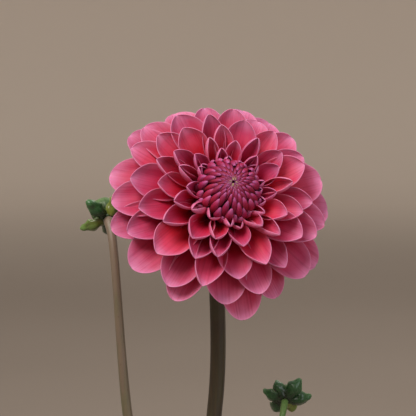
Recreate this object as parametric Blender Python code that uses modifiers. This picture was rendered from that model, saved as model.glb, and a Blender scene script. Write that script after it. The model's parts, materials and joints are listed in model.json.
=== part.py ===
"""A pink decorative dahlia and its two side buds, standing in a plain stoneware bud vase.

Metres, +Z up. The origin is the centre of the vase's flat base, and the bloom looks towards -Y.
The flower head is laid out by one rule. Its florets spring from the receptacle at the golden angle, from
the outermost inwards, thirteen to a row. Each floret follows a bending line that is steeper and shorter
than the one outside it, so the florets fan open without crossing.
"""

import math

import bmesh
import bpy
from mathutils import Vector

MM = 0.001
CLEARANCE = 0.3 * MM  # gap between pieces that touch

# Bud vase: a bottle with a straight neck and a rolled lip.
VASE_HEIGHT = 165 * MM
VASE_FOOT_RADIUS = 30 * MM
VASE_BELLY_RADIUS = 38.5 * MM
VASE_BELLY_HEIGHT = 55 * MM
VASE_NECK_BORE = 11.5 * MM  # inner radius
VASE_NECK_LENGTH = 42 * MM
VASE_WALL = 3.5 * MM
VASE_FLOOR = 6 * MM
VASE_FOOT_FLARE = 0.35  # widening of the wall just above the foot, in mm per mm of height
VASE_SEGMENTS = 28
WATER_LEVEL = 92 * MM

# Stems: radius, bearing of the place where each leans in the mouth, foot offset from the vase's axis,
# and the point halfway up: its height above the mouth, its offset and its lean there (mm per mm of height).
MAIN_STEM_RADIUS = 3.9 * MM
MAIN_LEAN_BEARING = 40
MAIN_FOOT = (-2.5 * MM, 8.7 * MM)
MAIN_PASS = (120 * MM, 12.6 * MM, 8 * MM)
MAIN_PASS_LEAN = (0.1, 0)
LEFT_STEM_RADIUS = 3.0 * MM
LEFT_LEAN_BEARING = 180
LEFT_FOOT = (13 * MM, -4 * MM)
LEFT_PASS = (120 * MM, -33 * MM, 5 * MM)
LEFT_PASS_LEAN = (-0.1, 0)
RIGHT_STEM_RADIUS = 1.5 * MM
RIGHT_LEAN_BEARING = -50
RIGHT_FOOT = (-14 * MM, -13 * MM)
RIGHT_PASS = (70 * MM, 34 * MM, 0)
RIGHT_PASS_LEAN = (0.36, 0)

# Where the three heads sit: above the mouth, and from the vase's axis. A head's nod is its tilt from
# upright, forwards if positive, and its turn is counter-clockwise from above. The last value is how far
# back along the stem the head's direction is felt.
BLOOM_RISE = 225 * MM
BLOOM_OFFSET = (15.5 * MM, -23 * MM)
BLOOM_NOD = 62.4
BLOOM_TURN = 13.4
BLOOM_NECK = 20 * MM
LEFT_BUD_RISE = 213.5 * MM
LEFT_BUD_OFFSET = (-43.2 * MM, 14 * MM)
LEFT_BUD_NOD = -62
LEFT_BUD_TURN = 18
LEFT_BUD_NECK = 16 * MM
RIGHT_BUD_RISE = 119 * MM
RIGHT_BUD_OFFSET = (48.3 * MM, 12 * MM)
RIGHT_BUD_NOD = -64
RIGHT_BUD_TURN = -8
RIGHT_BUD_NECK = 14 * MM

# Receptacle of the bloom: an oblate dome over a cone that meets the stem.
RECEPTACLE_RADIUS = 12 * MM
RECEPTACLE_DOME = 7 * MM
RECEPTACLE_DEPTH = 9 * MM  # from the dome's widest level down to the stem
FIRST_FLORET_LATITUDE = -25  # degrees on the receptacle, 0 at its widest and 90 at its top
LAST_FLORET_LATITUDE = 43
ROW_STEP = 3.8  # extra latitude between one row and the next

# Ray florets. A pair of values runs from the outermost floret to the innermost open one.
ROWS = 6
FLORETS_PER_ROW = 13
LOOSE_ROWS = 2  # rows whose florets are separate nodes
GOLDEN_ANGLE = 137.508
FLORET_LENGTH = (46 * MM, 18.5 * MM)
FLORET_LIFT = (8, 48)  # degrees above the plane of the head, where a floret leaves the receptacle
FLORET_TIP_LIFT = (-30, 64)
LENGTH_EASE = 1.15  # powers of the age, which hold the outer florets long and low
LIFT_EASE = 1.5
FLORET_HALF_SPAN = 15.6  # degrees round the head, at a blade's widest
CLAW_HALF_SPAN = 8.0
FLORET_WIDEST = 0.62  # share of the length
FLORET_TIP_WIDTH = 0.1  # share of the widest
FLORET_CUP = 5.0  # how many florets inwards the margins rise
FLORET_THICKNESS = 0.45 * MM
CLAW_COLUMNS = 4  # grid columns across a floret
LOOSE_FLORET_ROWS = 5  # grid rows along a floret
JOINED_FLORET_ROWS = 3
COLLAR_DEPTH = 0.7  # degrees of latitude below a row's lowest claw

# Closed centre: unopened florets, packed as a dome with spiral rows.
CENTRE_ROOM = 0.45 * MM  # from its widest to the margins of the innermost open floret
CENTRE_WIDEST_HEIGHT = 16.5 * MM  # above the receptacle's widest level
CENTRE_HEIGHT = 26 * MM
CENTRE_SPIRALS = (13, 8)
CENTRE_RELIEF = 0.45 * MM

# Green bracts and buds.
BRACT_THICKNESS = 0.9 * MM
BLOOM_BRACTS = 5
BLOOM_BRACT_LENGTH = 17 * MM
BLOOM_BRACT_HALF_WIDTH = 4.2 * MM
LEFT_BUD_RADIUS = 6.6 * MM
LEFT_BUD_BRACTS = 5
LEFT_BUD_BRACT_LENGTH = 14 * MM
LEFT_BUD_BRACT_HALF_WIDTH = 4.3 * MM
RIGHT_BUD_RADIUS = 4.6 * MM
RIGHT_BUD_BRACTS = 6
RIGHT_BUD_BRACT_LENGTH = 12.5 * MM
RIGHT_BUD_BRACT_HALF_WIDTH = 3.6 * MM

MOUTH_LEVEL = VASE_HEIGHT - VASE_WALL / 2  # where the bore ends and the lip's rounding starts
FLORETS = ROWS * FLORETS_PER_ROW


def blend(pair, share):
    """The value that lies at this share of the way between the pair."""
    return pair[0] + (pair[1] - pair[0]) * share


def smooth(share):
    """An eased share: 0 to 1, level at both ends."""
    share = max(0.0, min(1.0, share))
    return share * share * (3 - 2 * share)


# Scene and objects


def new_collection(name, hidden=False):
    collection = bpy.data.collections.new(name)
    collection.hide_render = hidden
    bpy.context.scene.collection.children.link(collection)
    return collection


def clear_scene():
    for obj in list(bpy.data.objects):
        bpy.data.objects.remove(obj, do_unlink=True)


def material(name, colour, roughness, metallic=0.0):
    made = bpy.data.materials.new(name)
    made.use_nodes = True
    shader = made.node_tree.nodes["Principled BSDF"]
    shader.inputs["Base Color"].default_value = (*colour, 1.0)
    shader.inputs["Roughness"].default_value = roughness
    shader.inputs["Metallic"].default_value = metallic
    return made


def add_object(name, data, finish, collection, parent=None):
    obj = bpy.data.objects.new(name, data)
    obj.parent = parent
    collection.objects.link(obj)
    data.materials.append(finish)
    return obj


def add_empty(name, collection, location, nod, turn):
    """An empty whose +Z leans by nod towards -Y and is then turned about the vertical."""
    empty = bpy.data.objects.new(name, None)
    empty.empty_display_size = 20 * MM
    empty.location = location
    empty.rotation_euler = (math.radians(nod), 0, math.radians(turn))
    collection.objects.link(empty)
    bpy.context.view_layer.update()
    return empty


def as_cutter(obj):
    obj.hide_render = True
    obj.display_type = "WIRE"


# Shapes


def lathe(name, outline, segments, finish, collection, parent=None):
    """A turned solid. The outline of (radius, height) starts and ends on the axis or closes on itself,
    and runs down its outer side."""
    points = [(radius, 0, height) for radius, height in outline]
    closed = outline[0] != outline[-1] and outline[0][0] > 0
    count = len(points)
    edges = [(i, i + 1) for i in range(count - 1)]
    if closed:
        edges.append((count - 1, 0))
    mesh = bpy.data.meshes.new(name)
    mesh.from_pydata(points, edges, [])
    obj = add_object(name, mesh, finish, collection, parent)
    screw = obj.modifiers.new("turn", "SCREW")
    screw.axis = "Z"
    screw.angle = math.tau
    screw.steps = segments
    screw.render_steps = segments
    screw.use_merge_vertices = True
    screw.merge_threshold = 0.01 * MM
    screw.use_smooth_shade = True
    return obj


def add_sheet(shape, place, columns, rows):
    """A grid moved by place(u, v), with u from -1 to 1 across and v from 0 to 1 along. Its rows lie
    closer together towards the far end."""
    grid = bmesh.ops.create_grid(shape, x_segments=columns, y_segments=rows, size=0.5)
    for vertex in grid["verts"]:
        across, along = 2 * vertex.co.x, vertex.co.y + 0.5
        vertex.co = place(across, 1 - (1 - along) ** 1.7)


def thicken(name, shape, thickness, finish, collection, parent):
    """A solid of even thickness made from a sheet."""
    mesh = bpy.data.meshes.new(name)
    shape.to_mesh(mesh)
    shape.free()
    mesh.shade_smooth()
    obj = add_object(name, mesh, finish, collection, parent)
    skin = obj.modifiers.new("thickness", "SOLIDIFY")
    skin.thickness = thickness
    skin.offset = 0
    return obj


def blade(name, place, columns, rows, thickness, finish, collection, parent=None):
    """A single petal or bract."""
    shape = bmesh.new()
    add_sheet(shape, place, columns, rows)
    return thicken(name, shape, thickness, finish, collection, parent)


def tube(name, knots, radius, finish, collection):
    """A round stem along Bezier knots, each given as (point, direction, handle length)."""
    curve = bpy.data.curves.new(name, "CURVE")
    curve.dimensions = "3D"
    curve.resolution_u = 6
    curve.bevel_depth = radius
    curve.bevel_resolution = 3
    curve.use_fill_caps = True
    spline = curve.splines.new("BEZIER")
    spline.bezier_points.add(len(knots) - 1)
    for point, (place, direction, handle) in zip(spline.bezier_points, knots):
        along = Vector(direction).normalized() * handle
        point.co = place
        point.handle_left_type = "FREE"
        point.handle_right_type = "FREE"
        point.handle_left = Vector(place) - along
        point.handle_right = Vector(place) + along
    return add_object(name, curve, finish, collection)


def as_mesh(curve_object, collection):
    """A closed mesh copy of a tube, for use as a cutter."""
    graph = bpy.context.evaluated_depsgraph_get()
    mesh = bpy.data.meshes.new_from_object(curve_object.evaluated_get(graph))
    shape = bmesh.new()
    shape.from_mesh(mesh)
    bmesh.ops.remove_doubles(shape, verts=shape.verts, dist=0.001 * MM)
    bmesh.ops.recalc_face_normals(shape, faces=shape.faces)
    shape.to_mesh(mesh)
    shape.free()
    solid = bpy.data.objects.new(curve_object.name + "_solid", mesh)
    solid.matrix_world = curve_object.matrix_world
    collection.objects.link(solid)
    bpy.data.objects.remove(curve_object, do_unlink=True)
    return solid


# Vase and water


def vase_radius(height):
    """Outer radius of the vase: foot, belly, shoulder and straight neck, joined by cubic curves."""
    neck = VASE_NECK_BORE + VASE_WALL
    shoulder = VASE_HEIGHT - VASE_NECK_LENGTH
    if height >= shoulder:
        return neck
    if height >= VASE_BELLY_HEIGHT:
        share = (height - VASE_BELLY_HEIGHT) / (shoulder - VASE_BELLY_HEIGHT)
        return blend((VASE_BELLY_RADIUS, neck), smooth(share))
    share = height / VASE_BELLY_HEIGHT
    flare = VASE_FOOT_FLARE * VASE_BELLY_HEIGHT * share * (1 - share) ** 2
    return blend((VASE_FOOT_RADIUS, VASE_BELLY_RADIUS), smooth(share)) + flare


def wall_levels(bottom, top, count):
    return [blend((bottom, top), i / count) for i in range(count + 1)]


def floor_fillet(inset):
    """The rounded corner between floor and wall, this far inside the vase's inner surface."""
    radius = 2 * VASE_WALL
    level = VASE_FLOOR + radius
    centre = vase_radius(level) - VASE_WALL - radius
    turns = [math.radians(90 * i / 3) for i in range(3)]
    reach = radius - inset
    return [(centre + reach * math.sin(a), level - reach * math.cos(a)) for a in turns]


def inside_levels():
    """Heights of the rings inside the vase, one of them at the water's surface."""
    shoulder = VASE_HEIGHT - VASE_NECK_LENGTH
    rings = wall_levels(VASE_FLOOR + 2 * VASE_WALL, shoulder, 8)
    return sorted(set(rings + [WATER_LEVEL, MOUTH_LEVEL]))


def build_vase(finish, collection):
    shoulder = VASE_HEIGHT - VASE_NECK_LENGTH
    inner = [(vase_radius(z) - VASE_WALL, z) for z in inside_levels()]
    lip_centre = VASE_NECK_BORE + VASE_WALL / 2
    turns = [math.radians(180 - 45 * i) for i in range(1, 4)]
    lip = [
        (lip_centre + math.cos(a) * VASE_WALL / 2, MOUTH_LEVEL + math.sin(a) * VASE_WALL / 2)
        for a in turns
    ]
    chamfer = VASE_WALL / 3
    levels = [MOUTH_LEVEL] + wall_levels(shoulder, chamfer, 9)
    outer = [(vase_radius(z), z) for z in levels]
    base = [(vase_radius(chamfer) - chamfer, 0), (0, 0)]
    outline = [(0, VASE_FLOOR)] + floor_fillet(0) + inner + lip + outer + base
    return lathe("vase", outline, VASE_SEGMENTS, finish, collection)


def build_water(finish, collection, cutters, stems):
    """The water fills the vase to its level, round the stems that stand in it."""
    bottom = VASE_FLOOR + CLEARANCE
    levels = [z for z in inside_levels() if z <= WATER_LEVEL]
    side = [(vase_radius(z) - VASE_WALL - CLEARANCE, z) for z in levels]
    outline = [(0, WATER_LEVEL)] + side[::-1] + floor_fillet(CLEARANCE)[::-1] + [(0, bottom)]
    water = lathe("water", outline, VASE_SEGMENTS, finish, collection)
    for name, knots, radius in stems:
        foot, direction, handle = knots[0]
        below = Vector(foot) - Vector(direction).normalized() * VASE_FLOOR
        path = [(below, direction, handle)] + knots[1:2]
        hole = tube(name + "_hole", path, radius + CLEARANCE, finish, cutters)
        cutter = as_mesh(hole, cutters)
        as_cutter(cutter)
        cut = water.modifiers.new(name, "BOOLEAN")
        cut.operation = "DIFFERENCE"
        cut.object = cutter
    return water


# Stems


def stem_knots(radius, bearing, foot, passing, lean, joint, axis, neck):
    """Foot on the vase's floor, the place where the stem leans in the mouth, the point halfway up, and
    the joint at its head. Inside the vase the stem is straight."""
    reach = VASE_NECK_BORE - radius - CLEARANCE
    angle = math.radians(bearing)
    mouth = Vector((reach * math.cos(angle), reach * math.sin(angle), MOUTH_LEVEL))
    slope = math.atan(math.hypot(mouth.x - foot[0], mouth.y - foot[1]) / MOUTH_LEVEL)
    stand = Vector((*foot, VASE_FLOOR + CLEARANCE + radius * math.sin(slope)))
    halfway = Vector((passing[1], passing[2], MOUTH_LEVEL + VASE_WALL / 2 + passing[0]))
    below = mouth - stand
    above = halfway - mouth
    return [
        (stand, below, below.length / 3),
        (mouth, below, above.length / 3),
        (halfway, (*lean, 1), above.length / 3),
        (joint, axis, neck),
    ]


def head_joint(head, depth):
    """Where a stem meets a head, and the head's axis, in world coordinates."""
    axis = head.matrix_world.to_3x3() @ Vector((0, 0, 1))
    return head.matrix_world @ Vector((0, 0, -depth - CLEARANCE)), axis


# Bloom


def receptacle_point(latitude, offset=0.0):
    """(radius, height) on the receptacle's dome, or this far outside it."""
    angle = math.radians(latitude)
    return (
        (RECEPTACLE_RADIUS + offset) * math.cos(angle),
        (RECEPTACLE_DOME + offset) * math.sin(angle),
    )


def floret_latitude(index):
    row = index // FLORETS_PER_ROW
    latitude_range = LAST_FLORET_LATITUDE - FIRST_FLORET_LATITUDE
    step = (latitude_range - ROW_STEP * (ROWS - 1)) / (FLORETS - 1)
    return FIRST_FLORET_LATITUDE + index * step + row * ROW_STEP


def floret_outline(along):
    """Half span of a floret, in degrees round the head, from claw to tip."""
    if along < FLORET_WIDEST:
        return blend((CLAW_HALF_SPAN, FLORET_HALF_SPAN), smooth(along / FLORET_WIDEST))
    past = (along - FLORET_WIDEST) / (1 - FLORET_WIDEST)
    return FLORET_HALF_SPAN * max(FLORET_TIP_WIDTH, (1 - past**2) ** 0.8)


def floret_line(index, along, root):
    """(radius, height) at this share of the midrib of floret number index, counted from the outside.
    A fractional index lies between two florets. The line bends evenly, so it is an arc."""
    age = index / (FLORETS - 1)
    length = blend(FLORET_LENGTH, age**LENGTH_EASE) * along
    lift = math.radians(blend(FLORET_LIFT, age**LIFT_EASE))
    bend = math.radians(blend(FLORET_TIP_LIFT, age**LIFT_EASE)) - lift
    half_turn = bend * along / 2
    chord = length * (math.sin(half_turn) / half_turn if abs(half_turn) > 1e-6 else 1.0)
    heading = lift + half_turn
    return root[0] + chord * math.cos(heading), root[1] + chord * math.sin(heading)


def floret_place(index, root_offset):
    """The function that places a grid point on one floret."""
    root = receptacle_point(floret_latitude(index), root_offset)
    turn = math.radians(index * GOLDEN_ANGLE)

    def place(across, along):
        rise = FLORET_CUP * smooth(along / FLORET_WIDEST) * across**2
        radius, height = floret_line(index + rise, along, root)
        angle = turn + math.radians(floret_outline(along)) * across
        return Vector((radius * math.cos(angle), radius * math.sin(angle), height))

    return place


def receptacle_waist():
    """(radius, height) where the cone under the receptacle is drawn in, above the stem."""
    rim = receptacle_point(-30)
    neck = MAIN_STEM_RADIUS + 2 * CLEARANCE
    return blend((neck, rim[0]), 0.45), blend((-RECEPTACLE_DEPTH, rim[1]), 0.35)


def build_receptacle(finish, collection, head):
    dome = [receptacle_point(latitude) for latitude in range(90, -31, -20)]
    dome[0] = (0, RECEPTACLE_DOME)
    neck = MAIN_STEM_RADIUS + 2 * CLEARANCE
    outline = dome + [receptacle_waist(), (neck, -RECEPTACLE_DEPTH), (0, -RECEPTACLE_DEPTH)]
    return lathe("receptacle", outline, 24, finish, collection, head)


def build_loose_florets(finish, collection, head):
    for index in range(LOOSE_ROWS * FLORETS_PER_ROW):
        row, number = divmod(index, FLORETS_PER_ROW)
        name = f"row{row + 1}_floret_{number + 1:02d}"
        place = floret_place(index, CLEARANCE)
        blade(
            name, place, CLAW_COLUMNS, LOOSE_FLORET_ROWS, FLORET_THICKNESS, finish, collection, head
        )


def collar_place(row, root_offset):
    """The function that places a column of the collar under a row of claws: four steps under each claw
    and one step on to the next claw. The collar's top follows the claws' roots."""
    first = row * FLORETS_PER_ROW
    claws = sorted(
        (index * GOLDEN_ANGLE % 360, index) for index in range(first, first + FLORETS_PER_ROW)
    )
    foot = receptacle_point(floret_latitude(first) - COLLAR_DEPTH, root_offset)

    def place(column, top):
        number, step = divmod(column, CLAW_COLUMNS + 1)
        turn, index = claws[number % FLORETS_PER_ROW]
        angle = math.radians(turn + CLAW_HALF_SPAN * (2 * step / CLAW_COLUMNS - 1))
        root = receptacle_point(floret_latitude(index), root_offset)
        radius, height = root if top else foot
        return Vector((radius * math.cos(angle), radius * math.sin(angle), height))

    return place


def build_joined_row(row, finish, collection, head):
    """One row of younger florets, joined at their claws by a narrow collar round the receptacle."""
    offset = CLEARANCE + FLORET_THICKNESS / 2
    shape = bmesh.new()
    first = row * FLORETS_PER_ROW
    for index in range(first, first + FLORETS_PER_ROW):
        add_sheet(shape, floret_place(index, offset), CLAW_COLUMNS, JOINED_FLORET_ROWS)
    columns = FLORETS_PER_ROW * (CLAW_COLUMNS + 1)
    collar = collar_place(row, offset)
    ring = bmesh.ops.create_grid(shape, x_segments=columns, y_segments=1, size=0.5)["verts"]
    for vertex in ring:
        vertex.co = collar(round((vertex.co.x + 0.5) * columns), vertex.co.y > 0)
    bmesh.ops.remove_doubles(shape, verts=shape.verts, dist=0.01 * MM)
    bmesh.ops.recalc_face_normals(shape, faces=shape.faces)
    return thicken(f"floret_row_{row + 1}", shape, FLORET_THICKNESS, finish, collection, head)


def centre_radius():
    """Radius of the closed centre at its widest: a little inside the innermost open floret's margin."""
    last = FLORETS - 1
    root = receptacle_point(floret_latitude(last), CLEARANCE)
    margin = [floret_line(last + FLORET_CUP, step / 40, root) for step in range(41)]
    return min(margin, key=lambda point: abs(point[1] - CENTRE_WIDEST_HEIGHT))[0] - CENTRE_ROOM


def centre_outline(steps):
    """(radius, height) down the closed centre, from its tip to where it stands on the receptacle."""
    widest = centre_radius()
    base = receptacle_point(LAST_FLORET_LATITUDE + 2 * ROW_STEP, CLEARANCE)
    crown = CENTRE_HEIGHT - CENTRE_WIDEST_HEIGHT
    turns = [math.radians(90 * (1 - i / steps)) for i in range(steps)]
    top = [
        (widest * math.cos(a), CENTRE_WIDEST_HEIGHT + crown * math.sin(a)) for a in turns
    ]
    top[0] = (0, CENTRE_HEIGHT)
    half = steps // 2
    flank = [
        (
            blend((widest, base[0]), (i / half) ** 1.2),
            blend((CENTRE_WIDEST_HEIGHT, base[1]), i / half),
        )
        for i in range(half + 1)
    ]
    return top + flank


def build_closed_centre(finish, collection, head):
    """A turned dome whose skin swells where two families of spirals cross, one swelling a floret."""
    under = [
        receptacle_point(latitude, CLEARANCE)
        for latitude in range(int(LAST_FLORET_LATITUDE + 2 * ROW_STEP) + 10, 90, 12)
    ]
    outline = centre_outline(9) + under + [(0, RECEPTACLE_DOME + CLEARANCE)]
    columns = 3 * CENTRE_SPIRALS[0]
    widest = centre_radius()
    centre = lathe("closed_centre", outline, columns, finish, collection, head)
    graph = bpy.context.evaluated_depsgraph_get()
    mesh = bpy.data.meshes.new_from_object(centre.evaluated_get(graph))
    for vertex in mesh.vertices:
        radius = math.hypot(vertex.co.x, vertex.co.y)
        below_rim = vertex.co.z < receptacle_point(LAST_FLORET_LATITUDE, CLEARANCE)[1] + 2 * MM
        if radius < 1 * MM or below_rim:
            continue
        angle = math.atan2(vertex.co.y, vertex.co.x)
        drop = 2.4 * math.log(radius / widest)
        if vertex.co.z < CENTRE_WIDEST_HEIGHT:
            drop = (CENTRE_WIDEST_HEIGHT - vertex.co.z) / widest
        right, left = CENTRE_SPIRALS
        swell = math.cos(right * (angle + drop)) + math.cos(left * (angle - drop))
        push = CENTRE_RELIEF * (swell / 2 - 1) * radius / widest
        outward = Vector((vertex.co.x, vertex.co.y, vertex.co.z - RECEPTACLE_DOME)).normalized()
        vertex.co += outward * push
    centre.modifiers.clear()
    centre.data = mesh
    return centre


# Bracts and buds


def bract_place(root, lift, tip_lift, length, half_width, turn, hollow):
    """The function that places a grid point on a bract: a fleshy leaf of flat-based spoon shape."""
    start, end = math.radians(lift), math.radians(tip_lift)
    bearing = math.radians(turn)

    def place(across, along):
        half_turn = (end - start) * along / 2
        chord = length * along * math.sin(half_turn) / half_turn if half_turn else 0.0
        heading = start + half_turn
        radius = root[0] + chord * math.cos(heading)
        width = half_width * math.sin(math.pi * blend((0.1, 0.93), along))
        side = width * across
        height = root[1] + chord * math.sin(heading) + hollow * width * across**2
        x = radius * math.cos(bearing) - side * math.sin(bearing)
        y = radius * math.sin(bearing) + side * math.cos(bearing)
        return Vector((x, y, height))

    return place


def bract_root(radius, height):
    """Where the middle of a bract's foot stands, beside a body of this radius at this height."""
    return radius + BRACT_THICKNESS / 2 + 2 * CLEARANCE, height + BRACT_THICKNESS / 2


def build_bracts(prefix, count, root, angles, size, hollow, finish, collection, head):
    """A whorl of equal bracts round a head's axis."""
    length, half_width = size
    for number in range(count):
        turn = 360 * number / count + 20
        place = bract_place(root, *angles, length, half_width, turn, hollow)
        name = f"{prefix}_bract_{number + 1}"
        blade(name, place, 4, 3, BRACT_THICKNESS, finish, collection, head)


def bud_outline(radius, neck):
    """A round, slightly flattened bud that narrows to its stem, from tip to base."""
    level = 1.25 * radius
    turns = [math.radians(90 - 18 * i) for i in range(8)]
    round_part = [(radius * math.cos(a), level + 0.9 * radius * math.sin(a)) for a in turns]
    round_part[0] = (0, level + 0.9 * radius)
    return round_part + [(neck, 0), (0, 0)]


def build_bud(prefix, radius, neck, finish, collection, head):
    return lathe(f"{prefix}_heart", bud_outline(radius, neck), 16, finish, collection, head)


def build():
    clear_scene()
    parts = new_collection("dahlia_in_bud_vase")
    cutters = new_collection("cutters", hidden=True)

    stoneware = material("stoneware", (0.62, 0.57, 0.50), 0.55)
    water_clear = material("water", (0.70, 0.80, 0.82), 0.05)
    stalk = material("stalk", (0.10, 0.075, 0.035), 0.55)
    bud_stalk = material("bud_stalk", (0.16, 0.20, 0.06), 0.55)
    leaf_green = material("leaf_green", (0.07, 0.19, 0.05), 0.45)
    bud_green = material("bud_green", (0.13, 0.25, 0.09), 0.45)
    receptacle_green = material("receptacle_green", (0.30, 0.36, 0.16), 0.6)
    petal_pink = material("petal_pink", (0.66, 0.10, 0.20), 0.5)
    petal_rose = material("petal_rose", (0.58, 0.06, 0.16), 0.5)
    petal_magenta = material("petal_magenta", (0.36, 0.04, 0.14), 0.5)

    top = MOUTH_LEVEL + VASE_WALL / 2
    bloom = add_empty(
        "bloom_axis", parts, (*BLOOM_OFFSET, top + BLOOM_RISE), BLOOM_NOD, BLOOM_TURN
    )
    left_bud = add_empty(
        "left_bud_axis", parts, (*LEFT_BUD_OFFSET, top + LEFT_BUD_RISE), LEFT_BUD_NOD, LEFT_BUD_TURN
    )
    right_bud = add_empty(
        "right_bud_axis",
        parts,
        (*RIGHT_BUD_OFFSET, top + RIGHT_BUD_RISE),
        RIGHT_BUD_NOD,
        RIGHT_BUD_TURN,
    )

    main = stem_knots(
        MAIN_STEM_RADIUS,
        MAIN_LEAN_BEARING,
        MAIN_FOOT,
        MAIN_PASS,
        MAIN_PASS_LEAN,
        *head_joint(bloom, RECEPTACLE_DEPTH),
        BLOOM_NECK,
    )
    left = stem_knots(
        LEFT_STEM_RADIUS,
        LEFT_LEAN_BEARING,
        LEFT_FOOT,
        LEFT_PASS,
        LEFT_PASS_LEAN,
        *head_joint(left_bud, 0),
        LEFT_BUD_NECK,
    )
    right = stem_knots(
        RIGHT_STEM_RADIUS,
        RIGHT_LEAN_BEARING,
        RIGHT_FOOT,
        RIGHT_PASS,
        RIGHT_PASS_LEAN,
        *head_joint(right_bud, 0),
        RIGHT_BUD_NECK,
    )
    stems = [
        ("main_stem", main, MAIN_STEM_RADIUS, stalk),
        ("left_bud_stem", left, LEFT_STEM_RADIUS, stalk),
        ("right_bud_stem", right, RIGHT_STEM_RADIUS, bud_stalk),
    ]

    build_vase(stoneware, parts)
    build_water(water_clear, parts, cutters, [stem[:3] for stem in stems])
    for name, knots, radius, finish in stems:
        tube(name, knots, radius, finish, parts)

    build_receptacle(receptacle_green, parts, bloom)
    build_loose_florets(petal_pink, parts, bloom)
    for row in range(LOOSE_ROWS, ROWS):
        build_joined_row(row, petal_rose, parts, bloom)
    build_closed_centre(petal_magenta, parts, bloom)
    build_bracts(
        "bloom",
        BLOOM_BRACTS,
        bract_root(*receptacle_waist()),
        (-22, -75),
        (BLOOM_BRACT_LENGTH, BLOOM_BRACT_HALF_WIDTH),
        0.12,
        leaf_green,
        parts,
        bloom,
    )

    build_bud("left_bud", LEFT_BUD_RADIUS, LEFT_STEM_RADIUS, bud_green, parts, left_bud)
    build_bracts(
        "left_bud",
        LEFT_BUD_BRACTS,
        bract_root(LEFT_STEM_RADIUS, 0),
        (5, 30),
        (LEFT_BUD_BRACT_LENGTH, LEFT_BUD_BRACT_HALF_WIDTH),
        0.35,
        leaf_green,
        parts,
        left_bud,
    )
    build_bud("right_bud", RIGHT_BUD_RADIUS, RIGHT_STEM_RADIUS, bud_green, parts, right_bud)
    build_bracts(
        "right_bud",
        RIGHT_BUD_BRACTS,
        bract_root(RIGHT_STEM_RADIUS, 0),
        (5, 40),
        (RIGHT_BUD_BRACT_LENGTH, RIGHT_BUD_BRACT_HALF_WIDTH),
        0.35,
        leaf_green,
        parts,
        right_bud,
    )


build()
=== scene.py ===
import json
import math

import bpy
import numpy as np
from mathutils import Euler, Matrix, Vector

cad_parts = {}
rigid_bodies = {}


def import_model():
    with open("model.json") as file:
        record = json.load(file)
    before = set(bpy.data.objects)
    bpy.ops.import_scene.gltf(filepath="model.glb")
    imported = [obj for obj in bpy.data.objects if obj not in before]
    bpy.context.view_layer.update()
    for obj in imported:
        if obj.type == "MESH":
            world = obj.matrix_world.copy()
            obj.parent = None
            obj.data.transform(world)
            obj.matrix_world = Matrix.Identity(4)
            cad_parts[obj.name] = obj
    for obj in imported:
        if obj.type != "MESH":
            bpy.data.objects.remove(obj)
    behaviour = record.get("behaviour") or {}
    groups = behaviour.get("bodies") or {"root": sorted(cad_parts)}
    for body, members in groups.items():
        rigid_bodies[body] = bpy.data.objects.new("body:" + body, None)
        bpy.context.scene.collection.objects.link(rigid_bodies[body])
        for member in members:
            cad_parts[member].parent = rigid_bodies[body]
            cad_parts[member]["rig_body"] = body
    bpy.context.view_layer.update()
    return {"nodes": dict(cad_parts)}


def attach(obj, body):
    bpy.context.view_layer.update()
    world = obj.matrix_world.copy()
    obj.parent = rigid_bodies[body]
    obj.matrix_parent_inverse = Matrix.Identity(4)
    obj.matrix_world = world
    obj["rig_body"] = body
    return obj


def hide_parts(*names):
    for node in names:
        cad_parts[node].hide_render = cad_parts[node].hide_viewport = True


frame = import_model()

# ----------------------------------------
# The vase: a stoneware bottle thrown in one piece, 165 mm high, with a straight neck, a rolled
# lip and a turned foot. It is dipped in an oat-coloured glaze that stops just above the foot,
# so that the foot stands on bare fired clay.
# ----------------------------------------


def ease(share):
    """Goes smoothly from 0 to 1."""
    share = np.clip(share, 0.0, 1.0)
    return share * share * (3 - 2 * share)


def between(start, end, share):
    return start + (end - start) * share


def linear(code, alpha=1.0):
    """An sRGB hex colour as the linear values that a shader takes."""
    parts = [int(code[i : i + 2], 16) / 255 for i in (1, 3, 5)]
    return (*(p / 12.92 if p <= 0.04045 else ((p + 0.055) / 1.055) ** 2.4 for p in parts), alpha)


def feed(tree, node, feeds):
    """Gives a node's sockets what feeds them: a value or another socket."""
    for key, value in feeds.items():
        if isinstance(value, bpy.types.NodeSocket):
            tree.links.new(value, node.inputs[key])
        else:
            node.inputs[key].default_value = value


def put(tree, kind, feeds=None, out=0, **settings):
    """Adds one node with its settings and feeds, and gives back one of its outputs, or for None the node itself.
    The kind of a shader's node is given without its first word."""
    node = tree.nodes.new(kind if "Node" in kind else "ShaderNode" + kind)
    for name, value in settings.items():
        setattr(node, name, value)
    feed(tree, node, feeds or {})
    return node if out is None else node.outputs[out]


def new_finish(name):
    """A new material, its node tree, its shader and the piece's own coordinates."""
    finish = bpy.data.materials.new(name)
    finish.use_nodes = True
    tree = finish.node_tree
    return finish, tree, tree.nodes["Principled BSDF"], put(tree, "TexCoord", out="Object")


def set_ramp(node, stops):
    """Places a colour ramp's stops, given as (position, hex colour)."""
    ramp = node.color_ramp
    while len(ramp.elements) > 1:
        ramp.elements.remove(ramp.elements[-1])
    ramp.elements[0].position, ramp.elements[0].color = stops[0][0], linear(stops[0][1])
    for position, code in stops[1:]:
        ramp.elements.new(position).color = linear(code)
    return node.outputs["Color"]


def solid(name, points, faces, finish=None):
    """A smooth-shaded mesh object from points in millimetres and its faces, at the origin."""
    mesh = bpy.data.meshes.new(name)
    mesh.from_pydata((np.asarray(points) * 0.001).tolist(), [], faces)
    mesh.polygons.foreach_set("use_smooth", [True] * len(mesh.polygons))
    if finish:
        mesh.materials.append(finish)
    mesh.update()
    made = bpy.data.objects.new(name, mesh)
    bpy.context.scene.collection.objects.link(made)
    return made


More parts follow.
